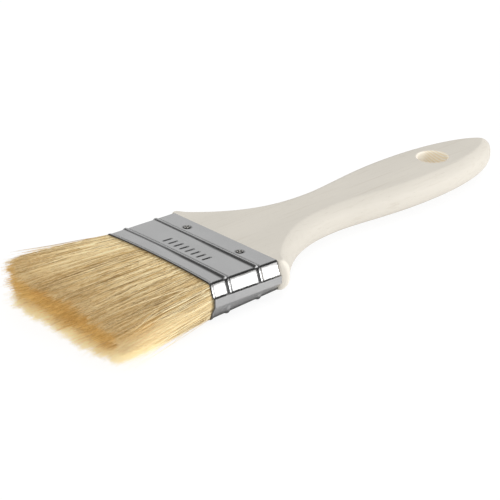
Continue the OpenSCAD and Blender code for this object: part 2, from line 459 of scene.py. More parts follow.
def lapped(along, y, z, half_w, step):
    """Lays the outer sheet of the lapped joint over the near side, which hides the beads there."""
    top, low = (a + (b - a) * along for a, b in (LAP_TOP, LAP_BEND))
    foot = -LAP_END * math.tan(SIDE_LEAN) - half_w - 0.05
    bend = np.interp(z, [LAP_END, low, top], [foot, -half_w - step, -half_w - step])
    near = (y < -half_w + 3) & (z < top) & (z > LAP_END)
    return np.where(near, np.where(z < low, np.minimum(bend, y), bend), y)


def proud_at(x, sizes):
    """How far the rolled mouth and the beads stand out of the sleeve at distance x from the mouth."""
    beads = sum(bump_at(x, b / MM, BEAD_HALF) for b in (sizes.bead_first, sizes.bead_second))
    return sizes.lip_height / MM * bump_at(x, LIP_X, LIP_HALF) + sizes.bead_height / MM * beads


def painted_shade_at(x, y, z, beads):
    """How dark the painted shade is at each point at x: a painted shaded line at the mouth, painted dark
    reflections in the corners and along the joint, and painted shade beside the beads.
    """
    # Painted reflection: the darkness beside the beads is strongest on the near side and fades towards the
    # far side.
    fade = np.interp(y, [-31, -6, 8, 31], [1.0, 0.85, 0.2, 0.1])
    low = half_at(x) - 1.2
    corner = np.interp(np.abs(z), [low - 0.6, low - 0.3, low + 0.95, low + 1.2], [0, 1, 1, 0])
    lap = LAP_TOP[0] + (LAP_TOP[1] - LAP_TOP[0]) * x / FERRULE_L * MM
    joint = np.interp(z - lap, [-0.1, 0.0, 0.3, 0.75], [0, 1, 0.8, 0])
    thick = np.interp(y, [-31, -6, 8, 31], [1.25, 1.1, 0.75, 0.6])
    beside = sum(bump_at(x, b - thick, thick) + 0.3 * bump_at(x, b + 1.4, 0.5) for b in beads)
    # Painted dark reflections where the beads turn down the narrow sides.
    turned = sum(bump_at(x, b - 1.4, 0.55) + bump_at(x, b + 1.4, 0.55) for b in beads)
    turned = turned * 0.75 * ((z > lap) | (y > 0) | (z < LAP_END))
    mouth = float(np.interp(x, [0.0, 0.3, 0.55], [1.0, 0.8, 0.0]))
    found = [corner * (np.abs(y) > CORNER_Y) * 0.9, joint * (y < -SIDE_Y) * 0.9,
             np.where(np.abs(y) < FACE_Y, beside * fade, turned), np.full_like(y, mouth)]
    return np.clip(np.max(found, 0), 0, 1)


def nail_places():
    """Where the four nails stand: (x, y, face), with face 1 on top and -1 underneath."""
    places = []
    for name in ("nail_top_far", "nail_top_near", "nail_under_far", "nail_under_near"):
        low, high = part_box(name)
        x = ((low.x + high.x) / 2 - MOUTH_X) / MM
        y = (low.y + high.y) / 2 / MM
        places.append((x, y, 1 if (low.z + high.z) / 2 > MID_Z else -1))
    return places


class BRUSH_OT_ferrule(bpy.types.Operator):
    """Builds the tinplate ferrule with its rolled mouth, beads, dimples, stamped marks and lapped joint"""
    bl_idname = "brush.ferrule"
    bl_label = "Ferrule"

    def execute(self, context):
        s = context.scene.brush_ferrule
        half_w, crown, plate = (v / MM for v in (s.half_width, s.crown, s.plate))
        beads = [s.bead_first / MM, s.bead_second / MM]
        long = s.length / MM
        fine = np.concatenate([
            np.linspace(0, 0.2, 6), np.arange(0.3, 2.2, 0.12), np.arange(2.4, 6.4, 0.4),
            np.arange(6.6, 9.9, 0.15), np.arange(10.1, 21.2, 0.37), np.arange(21.4, 24.7, 0.15),
            np.arange(24.8, 29.6, 0.22), np.arange(30.0, long, 0.5), [long]])
        plain = np.array([0.0, 0.4, 0.8, 1.2, 2, 4, 6.7, 7.5, 8.2, 9, 9.7, 13, 17.5,
                          21.5, 22.3, 23, 23.8, 24.5, long])
        rings, inner, grime = [], [], []
        for x in fine:
            proud = proud_at(x, s)
            turn = 0.14 * max(0.0, 1 - x / 0.2) ** 2
            half_t = half_at(x)
            y, z = sleeve_ring(half_w + proud - turn, half_t + proud - turn, half_t, crown_at(x, crown))
            y = lapped(x / long, y, z, half_w, s.lap_step / MM - turn)
            # Painted shade and painted dark reflections for this ring.
            painted_dark = painted_shade_at(x, y, z, beads)
            for nx, ny, face in nail_places():
                near = np.hypot(x - nx, y - ny)
                hit = (near < DIMPLE_R) & (z * face > 0)
                dip = face * s.dimple_depth / MM * (1 + np.cos(np.pi * near / DIMPLE_R)) / 2
                z = np.where(hit, z - dip, z)
                # Painted shade in the dimple round each nail.
                ringed = np.interp(near, [1.2, 1.6, 2.2], [0.95, 0.75, 0.0])
                painted_dark = np.where(hit, np.maximum(painted_dark, ringed), painted_dark)
            for at in TICKS_Y:
                inside = np.clip(0.5 + (TICK_LONG - abs(x - TICK_X)) / 0.3, 0, 1) * bump_at(y, at, TICK_HALF)
                z = np.where(z > 0, z - s.tick_depth / MM * inside, z)
                # Painted shade in the stamped marks.
                painted_dark = np.where(z > 0, np.maximum(painted_dark, 0.6 * inside), painted_dark)
            rings.append(np.stack([np.full_like(y, x), y, z], 1))
            grime.append(painted_dark)
        for x in plain:
            proud = proud_at(x, s)
            thin = plate + s.tick_depth / MM * 0.6 * float(bump_at(x, TICK_X, TICK_ROOM))
            half_t = half_at(x)
            y, z = sleeve_ring(half_w - plate + proud, half_t - thin + proud, half_t, crown_at(x, crown))
            inner.append(np.stack([np.full_like(y, x), y, z], 1))
        n = len(rings[0])
        points = np.concatenate(rings + inner)
        start = len(rings) * n
        faces = [bridge(n, (r + 1) * n, r * n) for r in range(len(rings) - 1)]
        faces += [bridge(n, start + r * n, start + (r + 1) * n) for r in range(len(inner) - 1)]
        faces.append(bridge(n, 0, start))
        faces.append(bridge(n, start + (len(inner) - 1) * n, start - n))
        obj = new_object("tin_ferrule", points, np.concatenate(faces))
        obj.data.set_sharp_from_angle(angle=math.radians(50))
        # The painted shade is stored on the outer points; the inner points get none.
        mark(obj, "grime", np.concatenate(grime + [np.zeros(n)] * len(inner)))
        check_outward(obj)
        assign(obj, tinplate(s))
        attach(obj, "root")
        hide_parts("ferrule")
        return {"FINISHED"}


def tinplate(sizes):
    """Bright rolled tinplate: fine rolling lines, faint clouding, a few scratches, and painted shade and
    painted dark reflections in the creases, beside the beads and round the nails.
    """
    f = Finish("Tinplate")
    rolled = f.noise(f.place(scale=(900, 26000, 26000)), 2.0, 0.6)
    cloud = f.noise(f.place(scale=(90, 60, 60)), 4.0, 0.6)
    scratch = f.noise(f.place(scale=(1500, 210, 300), offset=(3, 0, 0)))
    marks = scratch.step(0.66, 0.72)
    tone = f.mix(cloud.step(0.3, 0.75), tuple(c * 0.93 for c in sizes.tin), sizes.tin)
    tone = f.mix(marks * 0.35, tone, tuple(min(1, c * 1.15) for c in sizes.tin))
    # Painted shade: the marked points are darkened towards the near-black colour, with some cloudy variation,
    # and made a little rougher.
    grime = f.marked("grime")
    shade_amount = (grime * (0.7 + cloud * 0.6)).clamped()
    tone = f.mix(shade_amount * 0.9, tone, sizes.grime)
    height = rolled * 0.25 + cloud * 0.5 - marks * 0.4
    f.shade(Base_Color=tone, Metallic=1.0, Roughness=0.11 + cloud * 0.08 + rolled * 0.07 + shade_amount * 0.15,
            Normal=f.bump(height, 0.00003))
    return f


# ---- the nails

class BRUSH_OT_nails(bpy.types.Operator):
    """Places the four pins, with heads crushed flat by the press, through a node tree"""
    bl_idname = "brush.nails"
    bl_label = "Nails"

    def execute(self, context):
        s = context.scene.brush_ferrule
        pin = self.one_nail()
        points, turns = [], []
        for i, (x, y, face) in enumerate(nail_places()):
            surface = half_at(x) - s.dimple_depth / MM
            points.append((x, y, face * surface))
            turns.append((0.0 if face > 0 else math.pi, 0.0, 0.4 + 1.3 * i))
        obj = new_object("nails", points, [], smooth=False)
        mark(obj, "turn", turns, "FLOAT_VECTOR")
        made = grown(obj, self.nail_tree(nail_steel(s).material), {"Nail": pin})
        bpy.data.objects.remove(pin)
        check_outward(made)
        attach(made, "root")
        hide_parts("nail_top_far", "nail_top_near", "nail_under_far", "nail_under_near")
        return {"FINISHED"}

    def one_nail(self):
        """A round pin along -Z under a thin head with a crushed cross in it."""
        spokes = 48
        a = np.linspace(0, 2 * np.pi, spokes, endpoint=False)
        profile = [(0.15, -7.0), (0.6, -5.8), (0.6, 0.0), (1.2, 0.0), (1.32, 0.06), (1.34, 0.18),
                   (1.28, 0.30), (1.15, 0.37), (1.0, 0.40)]
        profile += [(r, 0.41) for r in (0.85, 0.7, 0.55, 0.4, 0.25, 0.12)]
        rings, dark = [], []
        for r, z in profile:
            ragged = 1 + (0.05 * np.sin(3 * a + 1) + 0.03 * np.sin(7 * a)) * (r > 0.9)
            cross = np.exp(-(np.sin(2 * a) * r / 0.36) ** 2) * (z > 0.35)
            dent = 0.28 * cross * np.clip((1.35 - r) / 0.3, 0, 1)
            swirl = 0.05 * np.sin(5 * a + 4 * r) * (z > 0.35)
            rings.append(np.stack([r * ragged * np.cos(a), r * ragged * np.sin(a), z - dent + swirl], 1))
            # Painted shade: the dents of the crushed cross and the rim under the head are marked dark.
            dark.append(np.maximum(cross * (r > 0.3), 0.9 * (z < 0.35)))
        points = np.concatenate(rings + [[(0, 0, -7.0)], [(0, 0, 0.1)]])
        last = (len(rings) - 1) * spokes
        low, high = len(points) - 2, len(points) - 1
        i = np.arange(spokes)
        j = (i + 1) % spokes
        faces = [tuple(f) for r in range(len(rings) - 1)
                 for f in bridge(spokes, r * spokes, (r + 1) * spokes)]
        faces += [(low, q, p) for p, q in zip(i, j)]
        faces += [(high, last + p, last + q) for p, q in zip(i, j)]
        obj = raw_object("one_nail", points * MM, faces)
        mark(obj, "grime", np.concatenate(dark + [[1.0, 0.2]]))
        return obj

    def nail_tree(self, material):
        t = Growth("Nail rows")
        t.socket("Nail", "NodeSocketObject")
        t.socket("Head size", "NodeSocketFloat", 1.0)
        shape = t.add("GeometryNodeObjectInfo", {"transform_space": "ORIGINAL"}, {"Object": t.get("Nail")},
                      "Geometry")
        turn = t.add("FunctionNodeEulerToRotation", None, {"Euler": t.named("turn", "FLOAT_VECTOR")})
        across = t.get("Head size")
        size = t.add("ShaderNodeCombineXYZ", None, {"X": across, "Y": across, "Z": 1.0})
        laid = t.add("GeometryNodeInstanceOnPoints", None, {
            "Points": t.get("Geometry"), "Instance": shape, "Rotation": turn, "Scale": size})
        return t.finish(laid, material)


def nail_steel(sizes):
    """Bright crushed steel, made nearly black by painted shade in the crushed cross and round the rim."""
    f = Finish("Nail steel")
    grit = f.noise(f.place(scale=(2200, 2200, 2200)), 4.0, 0.7)
    grime = f.marked("grime")
    dull, bright = (tuple(c * share for c in sizes.nail) for share in (0.9, 1.5))
    tone = f.mix(grit.step(0.35, 0.65), dull, bright)
    # Painted shade from the marked points.
    tone = f.mix(grime.step(0.1, 0.5), tone, tuple(c * 0.2 for c in sizes.grime))
    f.shade(Base_Color=tone, Metallic=0.9, Roughness=0.16 + grit * 0.2, Normal=f.bump(grit, 0.00008, 0.8))
    return f


# ---- the bristles

def bristle_tree(material):
    """A tube for each root, bent along its own curve from root to tip, tapered, and kinked at random."""
    t = Growth("Bristle growth")
    for name, kind, default in (
            ("Segments", "Int", 7), ("Sides", "Int", 3), ("Taper", "Float", 0.75), ("Kink", "Float", 0.0008),
            ("Waves", "Float", 8.0), ("Seed", "Int", 63)):
        t.socket(name, "NodeSocket" + kind, default)
    tube = t.add("GeometryNodeMeshCone", {"fill_type": "NGON"}, {
        "Vertices": t.get("Sides"), "Side Segments": t.get("Segments"),
        "Radius Top": 1.0, "Radius Bottom": 1.0, "Depth": 1.0})
    here = t.axes(t.add("GeometryNodeInputPosition"))
    for name, value in zip(("ring_u", "ring_v", "along"), here):
        tube = t.store(tube, name, value)
    chance = t.add("FunctionNodeRandomValue", {"data_type": "FLOAT_VECTOR"}, {
        "Min": (-1, -1, -0.35), "Max": (1, 1, 0.35), "Seed": t.get("Seed")})
    roots = t.store(t.get("Geometry"), "kink", chance, "FLOAT_VECTOR")
    laid = t.add("GeometryNodeInstanceOnPoints", None, {"Points": roots, "Instance": tube})
    real = t.add("GeometryNodeRealizeInstances", None, {"Geometry": laid})
    along, kink = t.named("along"), t.named("kink", "FLOAT_VECTOR")
    back = 1.0 - along
    pace = t.get("Waves") * (1.0 + t.axes(kink)[0] * 0.4)
    wave = (along * pace).sine() * along * t.get("Kink")
    radius = t.named("girth") * (1.0 - along * along * t.get("Taper"))
    ring = t.add("ShaderNodeCombineXYZ", None, {
        "X": 0.0, "Y": t.named("ring_v") * radius, "Z": t.named("ring_u") * radius})
    path = t.total(
        t.scaled(t.named("root", "FLOAT_VECTOR"), back * back),
        t.scaled(t.named("bend", "FLOAT_VECTOR"), along * back * 2.0),
        t.scaled(t.named("tip", "FLOAT_VECTOR"), along * along),
        t.scaled(kink, wave), ring)
    bent = t.add("GeometryNodeSetPosition", None, {"Geometry": real, "Position": path})
    soft = t.add("GeometryNodeSetShadeSmooth", None, {"Geometry": bent, "Shade Smooth": True})
    return t.finish(soft, material)


HAIR_HALF_W = 31.0
ROOT_X = 1.6
TIP_LIMITS = (-40.5, 43.0)
LOCKS = 700
FLOOR_ROOM = 0.45


def hair_top(y):
    """Height of the hair above the middle at width y, just inside the ferrule's mouth."""
    crown = bpy.context.scene.brush_ferrule.crown / MM
    face = half_at(0.0) - 0.45 + crown * (1 - np.clip(np.abs(y) / FACE_Y, 0, 1) ** 2)
    return np.minimum(face, np.maximum(HAIR_HALF_W + 0.12 - np.abs(y), 0.05) / math.tan(SIDE_LEAN))


def lie_of_the_hair(sizes, y, u):
    """Root height, reach and tip of bristles at width y and height u, from -1 underneath to 1 on top."""
    side = np.abs(y) / HAIR_HALF_W
    z = u * hair_top(y)
    under, over = np.clip(-u, 0, 1), np.clip(u, 0, 1)
    angle = np.where(y > 0, sizes.fan_far * (1 - 0.5 * under), -sizes.fan_near) * side ** 1.2
    corner = np.clip((y - 16.0) / 15.0, 0, 1) ** 2 * (7.8 + 3.2 * under)
    corner = corner + np.clip((-y - 24.0) / 7.0, 0, 1) ** 2 * 1.8
    hollow = 3.6 * np.exp(-((y + 5.0) / 9.0) ** 2) * over ** 2
    reach = sizes.length / MM - corner - hollow - 1.0 * under ** 2
    tip_y = y + np.tan(angle) * reach
    lift = np.where(y > 0, 1.4 * (1 - under), 0.2) * side ** 2
    return z, reach, tip_y, z * (1.0 - 0.06 * np.abs(u)) + lift


class BRUSH_OT_bristles(bpy.types.Operator):
    """Grows the two rows of bristles: inner bundles, finer hair over the faces, and a few stray hairs"""
    bl_idname = "brush.bristles"
    bl_label = "Bristles"

    def execute(self, context):
        s = context.scene.brush_bristles
        tree = bristle_tree(bristle_hair(s).material)
        rng = np.random.default_rng(s.seed)
        locks = [rng.uniform(-HAIR_HALF_W, HAIR_HALF_W, LOCKS), rng.uniform(-1.0, 1.0, LOCKS),
                 rng.normal(0, 1.8, LOCKS), rng.normal(0, 0.11, LOCKS)]
        for row, low, high in (("top", 0.04, 1.0), ("under", -1.0, -0.04)):
            for hand, side in (("far", 1), ("near", -1)):
                y = rng.uniform(0, HAIR_HALF_W - 0.2, s.inner_count) * side
                u = rng.uniform(low, high, s.inner_count)
                self.grow(f"bristles_{row}_{hand}", row, tree, s, rng, y, u, locks, False)
            y = rng.uniform(-HAIR_HALF_W + 0.3, HAIR_HALF_W - 0.3, s.outer_count)
            u = np.sign(high + low) * (1 - rng.uniform(0, 0.16, s.outer_count))
            edge = rng.random(s.outer_count) < 0.2
            edge_z = rng.uniform(0, 5.0, s.outer_count)
            edge_y = HAIR_HALF_W - edge_z * math.tan(SIDE_LEAN) - rng.uniform(0, 0.5, s.outer_count)
            y = np.where(edge, np.sign(y) * edge_y, y)
            u = np.where(edge, np.sign(high + low) * np.clip(edge_z / hair_top(edge_y), 0, 1), u)
            self.grow(f"bristles_{row}_outer", row, tree, s, rng, y, u, locks, True)
        return {"FINISHED"}

    def grow(self, name, row, tree, s, rng, y, u, locks, outer):
        """Grows one piece: each bristle leans to the nearest lock, and the outer ones are finer."""
        n = len(y)
        lock_y, lock_u, lock_reach, lock_shade = locks
        z, reach, tip_y, tip_z = lie_of_the_hair(s, y, u)
        lock = np.argmin((y[:, None] - lock_y) ** 2 + (6.5 * (u[:, None] - lock_u)) ** 2, 1)
        _, _, pull_y, pull_z = lie_of_the_hair(s, lock_y[lock], lock_u[lock])
        pull = rng.uniform(0.0, 0.45, n)
        astray = rng.choice([0.9, 2.6, 5.5], n, p=[0.66, 0.28, 0.06])
        astray = astray * np.interp(np.abs(y), [24, 31], [1.0, 0.4])
        tip_y = tip_y + (pull_y - tip_y) * pull + rng.normal(0, 1, n) * astray
        tip_z = tip_z + (pull_z - tip_z) * pull * 0.6 + rng.normal(0, 0.3, n)
        reach = reach + rng.normal(0, 0.8, n) + lock_reach[lock]
        reach = reach - np.where(rng.random(n) < 0.5, np.abs(rng.normal(0, 2.4 if outer else 3.2, n)), 0.0)
        stray = rng.random(n) < (0.03 if outer else 0.004)
        tip_y = tip_y + stray * rng.normal(0, 3.5, n)
        tip_z = tip_z + stray * np.sign(u) * np.abs(rng.normal(0, 1.2, n))
        tip_y = np.clip(tip_y, *TIP_LIMITS)
        root = np.stack([np.full(n, ROOT_X), y, z], 1)
        tip = np.stack([-reach, tip_y, tip_z], 1)
        swell = np.sign(u) * (0.35 + 0.3 * (np.abs(u) > 0.8)) * np.abs(u)
        bend = root * 0.48 + tip * 0.52
        bend[:, 1] += rng.normal(0, 1.4, n) * np.interp(np.abs(y), [26, 31], [1.0, 0.4]) - (tip_y - y) * 0.12
        bend[:, 2] += swell + rng.normal(0, 0.15, n)
        lowest = FLOOR_ROOM - MID_Z / MM
        for part in (root, bend, tip):
            part[:, 2] = np.maximum(part[:, 2], lowest)
        obj = new_object(name, root, [], smooth=False)
        depth = np.minimum(1 - np.abs(u), np.clip((31.2 - np.abs(y)) / 6.0, 0, 1))
        shade = np.clip(rng.normal(0.6, 0.3, n) + lock_shade[lock], 0.12, 1.0)
        shade = np.where(rng.random(n) < 0.035, rng.uniform(0.0, 0.15, n), shade)
        girth = s.girth * (0.72 if outer else 1.0) * rng.uniform(0.65, 1.25, n)
        for label, values in (("root", root), ("bend", bend), ("tip", tip)):
            mark(obj, label, in_frame(values), "FLOAT_VECTOR")
        for label, values in (("girth", girth), ("depth", depth), ("shade", shade)):
            mark(obj, label, values)
        made = grown(obj, tree, {"Segments": 9 if outer else 7, "Seed": s.seed})
        for label in ("root", "bend", "tip", "girth", "kink", "ring_u", "ring_v"):
            made.data.attributes.remove(made.data.attributes[label])
        check_outward(made)
        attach(made, "root")
        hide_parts(f"bristles_{row}")


def bristle_hair(sizes):
    """Natural hog hair: each bristle has its own shade, with pale tips outside, partly painted light, golden
    tips inside, partly painted shade, a near side painted pale, and a painted glow.
    """
    f = Finish("Bristle hair")
    shade, depth, along = (f.marked(name) for name in ("shade", "depth", "along"))
    streak = f.noise(f.place(scale=(160, 2600, 2600)))
    patch = f.noise(f.place(scale=(60, 260, 260)))
    level = (shade + streak * 0.3 - 0.15 + patch * 0.12 - 0.06).clamped()
    tone = f.add("ShaderNodeValToRGB", {"stops": [
        (0.0, sizes.dark), (0.24, tuple(a * 0.6 + b * 0.4 for a, b in zip(sizes.tan, sizes.dark))),
        (0.5, sizes.tan), (0.85, sizes.cream)]}, {"Fac": level})
    _, y, z = f.axes(f.place())
    under = 1 - z.step(MID_Z - 0.0065, MID_Z)
    # Partly the hair's own tip colour, partly painted shade and warm light deep in the tuft: the deeper a
    # bristle lies, the more its tip turns golden and brown.
    inner = f.mix((shade * 1.3 - 0.2 + patch * 0.5 - 0.25).clamped(), sizes.brown, sizes.gold)
    golden = along.step(0.45, 0.92) * depth.step(-0.1, 0.45) * (1 - under * 0.85)
    tone = f.mix(golden * 0.9, tone, inner)
    # Painted light: the near side of the tuft, below just over the middle, is painted pale as if lit; the
    # tips underneath are paled, partly their own pale ends, partly painted glow.
    side = (1 - y.step(-0.0335, -0.0295)) * (1 - z.step(MID_Z + 0.001, MID_Z + 0.005))
    pale = (along.step(0.45, 0.95) * under * 0.85 + side * 0.5).clamped()
    tone = f.mix(pale, tone, sizes.cream)
    # Painted glow: the hair emits its own colour, more on the pale underside tips and near side, standing in
    # for light passing through the thin hairs.
    passed = f.mix(pale * 0.6 + 0.38, (0.0, 0.0, 0.0), tone)
    f.shade(Base_Color=tone, Emission_Color=passed, Emission_Strength=sizes.glow, Specular_IOR_Level=0.25,
            Roughness=0.42 + streak * 0.2, Normal=f.bump(streak, 0.00004))
    return f


# ---- the handle

HIP_L = 4.3
HIP_OUT = 1.9
HIP_ROUND = 1.8
NECK_X = 52.0
GRIP_X = 97.5
SHOULDER_POWER = 2.5
GRIP_EASE = 0.8
TAIL_POWERS = (2.3, 1.5)
EDGE_POWER = 2.8
EDGE_TURN = 0.93
TENON_GAP = 0.39
TENON_LAP = 0.4


def half_width_at(u, half_w, neck, grip):
    """Half width of the handle at distance u from the ferrule, as far as the widest part of the grip."""
    if u < HIP_L:
        return half_w + HIP_OUT * math.sin(math.pi * u / HIP_L)
    if u < NECK_X:
        return neck + (half_w - neck) * (1 - (u - HIP_L) / (NECK_X - HIP_L)) ** SHOULDER_POWER
    ease = ((u - NECK_X) / (GRIP_X - NECK_X)) ** GRIP_EASE
    return (grip + neck) / 2 - (grip - neck) / 2 * math.cos(math.pi * ease)


class BRUSH_OT_handle(bpy.types.Operator):
    """Builds the wooden handle with its rounded sides, softened hanging hole and tenon"""
    bl_idname = "brush.handle"
    bl_label = "Handle"

    def execute(self, context):
        s, ferrule = context.scene.brush_handle, context.scene.brush_ferrule
        half_w = ferrule.half_width / MM
        long, thick = s.length / MM, s.thickness / MM / 2
        neck, grip, rounding = s.neck / MM, s.grip / MM, s.side_round / MM
        start = ferrule.length / MM
        stations = np.concatenate([
            np.linspace(0, HIP_L, 14, endpoint=False),
            HIP_L + (NECK_X - HIP_L) * np.linspace(0, 1, 60, endpoint=False) ** 1.3,
            np.linspace(NECK_X, GRIP_X, 50, endpoint=False)])
        a = np.linspace(0, np.pi / 2, 50)

        def loop(inset):
            """Outline set in by a share of the rounding depth, with the same points on every level."""
            hip = HIP_ROUND + (rounding - HIP_ROUND) * (1 - np.cos(np.pi * stations / HIP_L)) / 2
            deep = np.where(stations < HIP_L, hip, rounding)
            side = np.array([half_width_at(u, half_w, neck, grip) for u in stations]) - inset * deep
            far, wide = long - GRIP_X - inset * rounding, grip - inset * rounding
            x = np.concatenate([stations, GRIP_X + far * np.sin(a) ** (2 / TAIL_POWERS[0])])
            y = np.concatenate([side, wide * np.maximum(np.cos(a), 0) ** (2 / TAIL_POWERS[1])])
            y[-1] = 0.0
            return np.concatenate([x, x[-2::-1]]), np.concatenate([y, -y[-2::-1]])

        # The profile from underneath to the top: flat rim, softened edge, rounded side, and the same again.
        half = [(0.0, 0.0)]
        for share in np.linspace(0, 1, 15)[1:]:
            level = math.sin(share * math.pi / 2 * EDGE_TURN) / math.sin(math.pi / 2 * EDGE_TURN)
            half.append((level ** EDGE_POWER, level))
        soft = []
        for inset, level in half:
            dull = 0.10 * max(0.0, (level - 0.86) / 0.14) ** 2
            soft.append((inset, level * thick - dull))
        soft += [(1.05, thick - 0.045), (1.12, thick - 0.015), (1.22, thick), (1.45, thick)]
        profile = [(i, -z) for i, z in reversed(soft)] + soft[1:]
        rings = []
        for inset, z in profile:
            x, y = loop(inset)
            rings.append(np.stack([start + x, y, np.full_like(x, z)], 1))
        n = len(rings[0])
        points = np.concatenate(rings)
        faces = [bridge(n, r * n, (r + 1) * n) for r in range(len(rings) - 1)]
        board = len(points)

        # The hanging hole, turned from underneath to the top with rounded edges.
        hang_x = HANG["pos_m"][0] / MM - MOUTH_X / MM
        radius, ease = s.hole_radius / MM, s.hole_soften / MM
        spokes = 96
        turn = np.linspace(0, 2 * np.pi, spokes, endpoint=False)
        wall = [(radius + ease + 0.5, thick), (radius + ease + 0.15, thick)]
        wall += [(radius + ease * (1 - math.sin(b)), thick - ease * (1 - math.cos(b)))
                 for b in np.linspace(0, math.pi / 2, 8)]
        wall = [(r, -z) for r, z in wall] + [(r, z) for r, z in reversed(wall)]
        tube = [np.stack([hang_x + r * np.cos(turn), r * np.sin(turn), np.full(spokes, z)], 1)
                for r, z in wall]
        points = np.concatenate([points] + tube)
        faces += [bridge(spokes, board + r * spokes, board + (r + 1) * spokes)[:, ::-1]
                  for r in range(len(tube) - 1)]

        # The tenon, as its own closed solid that meets the board's end.
        high = ferrule.half_thickness / MM - TENON_GAP
        y, z = sleeve_ring(half_w - TENON_GAP, high, high + TENON_GAP, 0.0, 12)
        m = len(y)
        tenon = [np.stack([np.full(m, x), y, z], 1) for x in (start - s.tenon / MM, start + TENON_LAP)]
        first = len(points)
        points = np.concatenate([points] + tenon)
        faces.append(bridge(m, first, first + m))
        faces = [tuple(f) for block in faces for f in block]
        faces.append(tuple(range(first + m - 1, first - 1, -1)))
        faces.append(tuple(range(first + m, first + 2 * m)))
        obj = new_object("wooden_handle", points, faces)

        # The two flat faces, each filled between the board's rim and the edge of the hole.
        bm = bmesh.new()
        bm.from_mesh(obj.data)
        bm.verts.ensure_lookup_table()
        for ring, hole in ((0, board), ((len(rings) - 1) * n, board + (len(tube) - 1) * spokes)):
            edges = [bm.edges.get((bm.verts[first + i], bm.verts[first + (i + 1) % size]))
                     for first, size in ((ring, n), (hole, spokes)) for i in range(size)]
            bmesh.ops.triangle_fill(bm, use_beauty=True, use_dissolve=False, edges=edges)
        bm.normal_update()
        bmesh.ops.recalc_face_normals(bm, faces=bm.faces)
        bm.to_mesh(obj.data)
        bm.free()
        obj.data.shade_smooth()
        obj.data.set_sharp_from_angle(angle=math.radians(60))
        check_outward(obj)
        assign(obj, bare_wood(s))
        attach(obj, "root")
        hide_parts("handle")
        return {"FINISHED"}


def bare_wood(sizes):
    """Pale bare hardwood: soft clouds, fine grain, short pores, a striped hole wall painted lighter, and a
    painted highlight on the hips.
    """
    f = Finish("Handle wood")
    cloud = f.noise(f.place(scale=(14, 60, 60)), 3.0, 0.5)
    grain = f.noise(f.place(scale=(34, 900, 900)), 4.0, 0.6, 0.4)
    pores = f.noise(f.place(scale=(260, 4200, 4200), offset=(5, 2, 0)))
    pale = tuple(min(1.0, c * 1.06) for c in sizes.wood)
    tone = f.mix(cloud.step(0.3, 0.7), sizes.wood, pale)
    tone = f.mix(grain.step(0.52, 0.8) * 0.55, tone, sizes.grain)
    tone = f.mix(pores.step(0.66, 0.76) * 0.5, tone, tuple(c * 0.82 for c in sizes.grain))
    x, y, z = f.axes(f.place(offset=(-HANG["pos_m"][0], 0, -MID_Z)))
    from_hole = (x * x + y * y) ** 0.5
    inside = 1 - from_hole.step(sizes.hole_radius + 0.0003, sizes.hole_radius + sizes.hole_soften * 0.9)
    wave = ((x + z * 0.9) * 5200 + cloud * 4).sine() * 0.5 + 0.5
    # Painted light: the wall of the hole is painted far lighter than the board, with darker striped end grain
    # on the handle side.
    drilled = f.mix(wave * x.step(0.0, 0.004) * 0.8, tuple(min(1, c * 1.42) for c in sizes.wood), sizes.bore)
    tone = f.mix(inside, tone, drilled)
    along, across, _ = f.axes(f.place(offset=(-MOUTH_X - FERRULE_L, 0, 0)))
    # Painted highlight: the wood at the hips beside the ferrule is painted lighter.
    hip = (1 - along.step(0.003, 0.012)) * ((across * across) ** 0.5).step(0.0295, 0.0315)
    tone = f.mix(hip, tone, tuple(min(1.0, c * 1.3) for c in sizes.wood))
    relief = f.bump(grain * 0.6 - pores.step(0.62, 0.76) * 0.8, 0.00006)
    f.shade(Base_Color=tone, Roughness=0.55 + grain * 0.15, Specular_IOR_Level=0.3, Normal=relief)
    return f


# ---- hidden parts

class BRUSH_OT_inside(bpy.types.Operator):
    """Gives the resin and the filler strip inside the ferrule their finishes"""
    bl_idname = "brush.inside"
    bl_label = "Parts inside"

    def execute(self, context):
        resin = Finish("Setting resin")
        swirl = resin.noise(resin.place(scale=(300, 300, 300)), 4.0, 0.6)
        specks = resin.noise(resin.place(scale=(400, 5000, 5000)))
        tone = resin.mix(swirl.step(0.3, 0.7), (0.33, 0.20, 0.07), (0.50, 0.33, 0.13))
        tone = resin.mix(specks.step(0.6, 0.7) * 0.7, tone, (0.70, 0.55, 0.33))
        resin.shade(Base_Color=tone, Roughness=0.25 + swirl * 0.3, Normal=resin.bump(specks, 0.0001))
        assign(frame["nodes"]["resin_setting"], resin)
        strip = Finish("Rough strip wood")
        fibre = strip.noise(strip.place(scale=(900, 30, 900)), 4.0, 0.6)
        tone = strip.mix(fibre.step(0.3, 0.75), (0.68, 0.52, 0.34), (0.48, 0.33, 0.18))
        strip.shade(Base_Color=tone, Roughness=0.7 + fibre * 0.2, Normal=strip.bump(fibre, 0.0002, 0.7))
        assign(frame["nodes"]["filler_strip"], strip)
        return {"FINISHED"}


# ---- the stage

WHITE = (1.0, 1.0, 1.0)
FLOOR_HALF = 4.0
# Each softbox: its name, place, width, height and power.
SOFTBOXES = (
    ("near softbox", (0.60, -0.76, 0.17), 0.95, 0.36, 5.2),
    ("left softbox", (-0.85, -0.45, 0.25), 0.90, 0.50, 1.2),
    ("far softbox", (0.79, 0.90, 0.62), 1.50, 0.95, 2.3),
    ("top softbox", (-0.10, 0.0, 1.20), 1.20, 1.20, 4.7))


